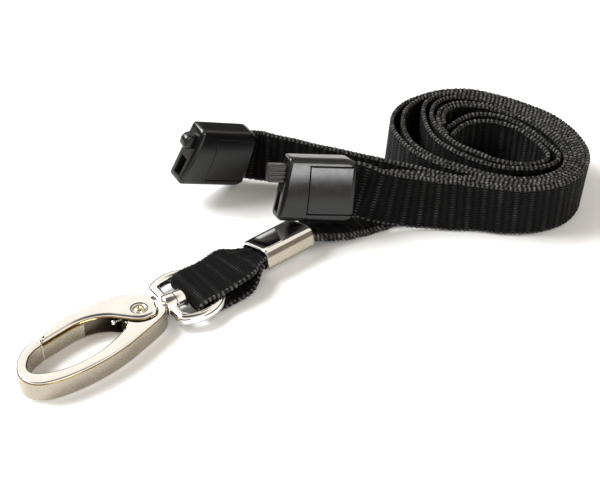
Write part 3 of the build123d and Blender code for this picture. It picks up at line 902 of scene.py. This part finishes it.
# three turns of the spring around the rivet, in steps of 15 degrees
spring_turns = []
for k in range(SPRING_STEPS + 1):
    a = math.radians(170 - SPRING_STEP * k)
    rise = SPRING_BASE + SPRING_RISE * k / SPRING_STEPS
    spring_turns.append((SPRING_RADIUS * math.cos(a), SPRING_RADIUS * math.sin(a), rise))
spring = wire("torsion_spring", spring_turns + SPRING_LEG, radius=0.2, ball=0.42)
finish_hard(spring, "hook", ["gate_spring"])

# ------------------------------------------------------------------ swivel
SWIVEL_AXIS = ((0, 0, 2.0), (1, 0, 0))
BARREL = [
    (2.6, 0.0), (2.6, 1.0), (6.5, 1.0), (6.5, 1.88), (6.55, 1.94), (7.95, 1.94), (8.15, 1.88), (8.28, 1.72),
    (8.32, 1.45), (8.32, 0.95), (8.4, 0.8), (8.55, 0.78), (8.66, 0.62), (8.7, 0.35), (8.7, 0.0),
]
EYE = [(4.42, 1.06), (4.42, 1.6), (4.5, 1.84), (4.68, 1.94), (6.38, 1.94), (6.43, 1.88), (6.43, 1.06)]
D_FLAT_OUTER, D_FLAT_INNER = 4.5, 6.35

barrel = as_piece("swivel_barrel", [lathe(BARREL, *SWIVEL_AXIS)], [METAL_TOP])
finish_hard(barrel, "hook", ["swivel_post"])


def d_line(bar, low_corner, high_corner, flat_x):
    """D-shaped outline: the round bar and two corner arcs, cut off straight at flat_x."""
    return [Vector((max(flat_x, p.x), p.y)) for p in bar + high_corner + low_corner]


ring_outer = d_line(
    arc(9.0, 0.3, 6.8, -118, 118, 90), arc(6.1, -4.15, 1.5, 184, 242, 10), arc(6.1, 4.75, 1.5, 118, 176, 10),
    D_FLAT_OUTER,
)
ring_inner = d_line(
    arc(9.0, 0.3, 4.9, -117, 117, 80), arc(7.1, -3.35, 0.7, 184, 250, 8), arc(7.1, 3.95, 0.7, 110, 176, 8),
    D_FLAT_INNER,
)
ring_plate = plate(
    ring_outer, 1.05, 2.95, top_round=0.85, low_round=0.85, holes=[ring_inner], steps=7, mats=ONE_MATERIAL,
)
ring = as_piece("swivel_d_ring", [ring_plate, lathe(EYE, *SWIVEL_AXIS)], METALS)
finish_hard(ring, "ring", ["swivel_ring"], sharp=50.0)

# ------------------------------------------------------------------ ferrule
FERRULE_CENTRE = Vector((29.4, 2.4, 2.6))
FERRULE_HEADING, FERRULE_ROLL = math.radians(5.5), math.radians(-12)
FERRULE_HALF_LENGTH = 5.3
FERRULE_HALF_WIDTH, FERRULE_HALF_HEIGHT = 3.6, 2.1
FERRULE_WALL = 0.55
CRIMP_DEPTH = 0.16
# (distance along, depth inwards from the outside) around one wall of the tube, bore first
FERRULE_PROFILE = [
    (10.45, FERRULE_WALL), (5.3, FERRULE_WALL), (0.15, FERRULE_WALL),
    (0.04, 0.46), (0.0, 0.32), (0.04, 0.16), (0.13, 0.05), (0.28, 0.0),
] + [(k * 0.5, 0.0) for k in range(1, 21)] + [
    (10.32, 0.0), (10.47, 0.05), (10.56, 0.16), (10.6, 0.32), (10.56, 0.46),
]
ferrule_along = Vector((math.cos(FERRULE_HEADING), math.sin(FERRULE_HEADING), 0.0))
ferrule_level = Vector((-ferrule_along.y, ferrule_along.x, 0.0))
ferrule_across = ferrule_level * math.cos(FERRULE_ROLL) + Vector(UP) * math.sin(FERRULE_ROLL)
ferrule_up = ferrule_along.cross(ferrule_across)


def ferrule_row(bm, along, depth):
    """Vertices of one section of the crimped tube."""
    wide, tall = FERRULE_HALF_WIDTH - depth, FERRULE_HALF_HEIGHT - depth
    crimp = 0.0
    if depth < 0.3:
        crimp = CRIMP_DEPTH * smoothstep((along - 0.9) / 1.2) * smoothstep((9.7 - along) / 1.2)
    corners = [max(0.5, 1.35 - depth)] * 4
    row = []
    for p in subdivided(rounded_rectangle(-wide, -tall, wide, tall, corners, 9), 0.35):
        dip = crimp * max(0.0, 1 - (p.x / 2.6) ** 2) * (1 if p.y > 0 else -1)
        at = FERRULE_CENTRE + ferrule_along * (along - FERRULE_HALF_LENGTH)
        row.append(bm.verts.new((at + ferrule_across * p.x + ferrule_up * (p.y - dip)) * MM))
    return row


tube = bmesh.new()
rows = [ferrule_row(tube, along, depth) for along, depth in FERRULE_PROFILE]
for low, high in zip(rows, rows[1:] + rows[:1]):
    # the rows differ a little in length, so the shorter one repeats some vertices
    n_low, n_high = len(low), len(high)
    count = max(n_low, n_high)
    for i in range(count):
        add_face(tube, (
            low[i * n_low // count], low[((i + 1) * n_low // count) % n_low],
            high[((i + 1) * n_high // count) % n_high], high[i * n_high // count],
        ))
bmesh.ops.recalc_face_normals(tube, faces=tube.faces)
# duller side walls with a painted reflection tint, and a painted dark reflection band along their upper edge
for face in tube.faces:
    local = face.calc_center_median() / MM - FERRULE_CENTRE
    if abs(local.dot(ferrule_across)) > 3.3:
        face.material_index = DARK if local.dot(ferrule_up) > 0.75 else WALL
ferrule = as_piece("crimp_ferrule", [tube], METALS)
finish_hard(ferrule, "strap", ["ferrule"], sharp=60.0)

# ------------------------------------------------------------------ breakaway buckle
SHELL_LENGTH, SHELL_HALF_WIDTH, SHELL_DEPTH = 14.0, 5.7, 4.8
SHELL_CORNERS = (1.0, 2.0, 2.4, 0.9)
SLANT_LENGTH = 3.0
CROWN = 0.55
LID_HALF_WIDTH = 4.3
TONGUE_BACK, TONGUE_FRONT = 1.45, 3.35
RIDGE_PITCH, RIDGE_WIDTH = 0.78, 0.46


def crowned(half):
    """Maps a buckle half's millimetres to the world, its front face slightly crowned across the width."""
    middle = SHELL_DEPTH / 2

    def place(x, y, z):
        drop = CROWN * max(0.0, z - middle) / middle * (y / SHELL_HALF_WIDTH) ** 2
        return in_buckle(half, x, y, z - drop)
    return place


def upright(half):
    """As crowned, for plates drawn in the x-z plane and extruded along y."""
    front = crowned(half)

    def place(x, z, y):
        return front(x, y, z)
    return place


def straight(half):
    """Maps a buckle half's millimetres to the world without a crown."""
    def place(x, y, z):
        return in_buckle(half, x, y, z)
    return place


def buckle_shell(half):
    """Outer shell: its open end is cut slanting, longer on the low side."""
    outline = rounded_rectangle(0.0, -SHELL_HALF_WIDTH, SHELL_LENGTH, SHELL_HALF_WIDTH, SHELL_CORNERS, 10)
    slanted = []
    for p in subdivided(outline, 0.6):
        share = max(0.0, SLANT_LENGTH - p.x) / SLANT_LENGTH
        slanted.append(Vector((p.x + share * (0.55 + 0.13 * p.y), p.y)))
    return plate(
        slanted, 0.0, SHELL_DEPTH, top_round=0.85, low_round=0.7, place=crowned(half), levels=3,
        mats=ONE_MATERIAL,
    )


def prong(place):
    """Flat tongue with four cross ridges on its front."""
    root = rounded_rectangle(-2.1, 1.0, 1.5, 4.2, (0.3, 0.1, 0.1, 0.3), 5)
    plates = [plate(root, TONGUE_BACK, TONGUE_FRONT, 0.2, 0.2, place=place, mats=ONE_MATERIAL)]
    for k in range(4):
        low = 1.1 + k * RIDGE_PITCH
        ridge = rounded_rectangle(-1.95, low, 1.0, low + RIDGE_WIDTH, (0.2, 0.1, 0.1, 0.2), 4)
        plates.append(plate(ridge, 3.2, 3.6, 0.14, 0.0, place=place, mats=ONE_MATERIAL))
    return plates


def round_tab(place):
    """Short rounded tongue."""
    outline = rounded_rectangle(-1.2, 1.3, 1.5, 4.2, (1.1, 0.1, 0.1, 1.4), 8)
    return [plate(outline, TONGUE_BACK, TONGUE_FRONT, 0.5, 0.3, place=place, mats=ONE_MATERIAL)]


# a clamp lid's section along the buckle: a slab with a rounded far end
lid_line = [(5.15, 2.9), (5.15, 4.72), (5.25, 4.82)] + arc(12.75, 3.62, 1.2, 90, -60, 18) + [(12.9, 2.6)]

for side, half, tongue_shape, tongue_material in (
    ("a", BUCKLE_A, prong, SMOKE_PLASTIC), ("b", BUCKLE_B, round_tab, BLACK_PLASTIC),
):
    place = straight(half)
    shell = as_piece(f"buckle_{side}_shell", [buckle_shell(half)], PLASTICS)
    # the lid's recess, the channel for the strap under it, and the socket in the open end, their cut faces
    # in painted shade
    carve(shell, [
        tool(rectangle(5.0, -4.45, 15.0, 4.45), 2.34, 6.0, DARK_PLASTIC, place),
        tool(rectangle(6.5, -5.1, 15.0, 5.1), 1.1, 2.36, DARK_PLASTIC, place),
        tool(rectangle(-1.0, -4.3, 4.0, -0.7), 1.35, 3.3, DARK_PLASTIC, place),
    ])
    finish_hard(shell, "strap", [f"buckle_{side}_housing"], edge=0.12)
    lid_plate = plate(
        lid_line, -LID_HALF_WIDTH, LID_HALF_WIDTH, top_round=0.22, low_round=0.22, place=upright(half),
        levels=14, mats=ONE_MATERIAL,
    )
    lid = as_piece(f"buckle_{side}_clamp_lid", [lid_plate], PLASTICS)
    finish_hard(lid, f"lid_{side}", [f"buckle_{side}_lid"])
    tongue = as_piece(f"buckle_{side}_tongue", tongue_shape(place), [tongue_material])
    finish_hard(tongue, "strap")

# ------------------------------------------------------------------ strap loop on the ring
LEVEL = (0.0, 1.0, 0.0)
TURNING = (-0.06, 0.99, -0.12)
IN_FERRULE = (-0.09, 0.974, -0.208)
# out of the ferrule, over the ring's round bar, down through the ring and back under the bar
loop_route = [
    ((28.0, 2.3, 3.05), IN_FERRULE), ((25.0, 2.0, 3.15), IN_FERRULE), ((22.4, 1.6, 3.7), TURNING),
    ((19.6, 1.0, 4.15), LEVEL), ((16.8, 0.5, 3.85), LEVEL), ((13.6, 0.3, 3.45), LEVEL),
    ((11.4, 0.3, 3.5), LEVEL), ((9.5, 0.3, 3.2), LEVEL), ((9.0, 0.3, 2.0), LEVEL),
    ((9.5, 0.3, 0.75), LEVEL), ((11.6, 0.3, 0.5), LEVEL), ((14.6, 0.3, 0.5), LEVEL),
    ((17.6, 0.5, 0.55), LEVEL), ((20.4, 1.0, 0.85), LEVEL),
    ((22.8, 1.6, 1.6), TURNING), ((25.0, 2.0, 2.05), IN_FERRULE), ((28.0, 2.3, 2.1), IN_FERRULE),
]


def loop_gather(s, total):
    """Full width on the ring, pleated and narrowed into the ferrule at both ends."""
    near = min(s, total - s)
    return 0.57 + 0.40 * smoothstep((near - 3.6) / 6.6), 0.34 * (1 - smoothstep((near - 4.5) / 6.0))


loop_piece, _, _ = weave_strap("ring_strap_loop", loop_route, 0.3, loop_gather)
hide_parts("strap_ring_loop")
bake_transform(loop_piece)

# ------------------------------------------------------------------ floor, light and world, in metres
floor_mesh = bpy.data.meshes.new("floor")
floor_mesh.from_pydata([(-2, -2, 0), (2, -2, 0), (2, 2, 0), (-2, 2, 0)], [], [(0, 1, 2, 3)])
floor = linked("floor", floor_mesh)
paper = Nodes("white_paper")
paper.surface(Base_Color=(0.86, 0.855, 0.85, 1.0), Roughness=0.6)
floor_mesh.materials.append(paper.material)


def softbox(name, at, width, height, power, colour=(1.0, 1.0, 1.0)):
    """Rectangular area light aimed at the middle of the lanyard; power in watts."""
    data = bpy.data.lights.new(name, "AREA")
    data.shape = "RECTANGLE"
    data.size = width
    data.size_y = height
    data.energy = power
    data.color = colour
    lamp = linked(name, data)
    lamp.location = at
    lamp.rotation_euler = aim_from(at, (0.035, 0.0, 0.0))


softbox("overhead", (-0.30, 0.42, 0.55), 0.42, 0.36, 9.6, colour=(0.95, 0.98, 1.0))
softbox("front_card", (0.0, -0.58, 0.20), 0.34, 0.10, 1.75)

# the studio seen in the metal, by the height of the direction from -1 (down) to 1 (up): the paper, a dark
# warm room at the horizon, a white tent, and a darker opening overhead
SKY_STRENGTH = 0.82
SKY = [
    (-1.0, (0.85, 0.82, 0.78)), (-0.03, (0.6, 0.5, 0.36)), (0.01, (0.40, 0.25, 0.09)),
    (0.09, (0.12, 0.075, 0.03)), (0.20, (0.03, 0.027, 0.025)), (0.38, (0.05, 0.048, 0.046)),
    (0.45, (1.42, 1.39, 1.33)), (0.70, (1.3, 1.22, 1.08)), (0.86, (1.15, 1.06, 0.92)),
    (0.93, (0.20, 0.19, 0.18)), (1.0, (0.12, 0.115, 0.11)),
]
world = bpy.data.worlds.new("studio")
scene.world = world
world.use_nodes = True
tree = world.node_tree
direction = tree.nodes.new("ShaderNodeTexCoord")
height = tree.nodes.new("ShaderNodeSeparateXYZ")
spread = tree.nodes.new("ShaderNodeMapRange")
spread.inputs["From Min"].default_value = -1.0
sky = tree.nodes.new("ShaderNodeValToRGB")
fill_ramp(sky.color_ramp, [((at + 1) / 2, colour) for at, colour in SKY])
background = tree.nodes["Background"]
background.inputs["Strength"].default_value = SKY_STRENGTH
tree.links.new(direction.outputs["Generated"], height.inputs[0])
tree.links.new(height.outputs["Z"], spread.inputs["Value"])
tree.links.new(spread.outputs["Result"], sky.inputs[0])
tree.links.new(sky.outputs[0], background.inputs["Color"])
scene.view_settings.view_transform = "Standard"
scene.view_settings.look = "None"
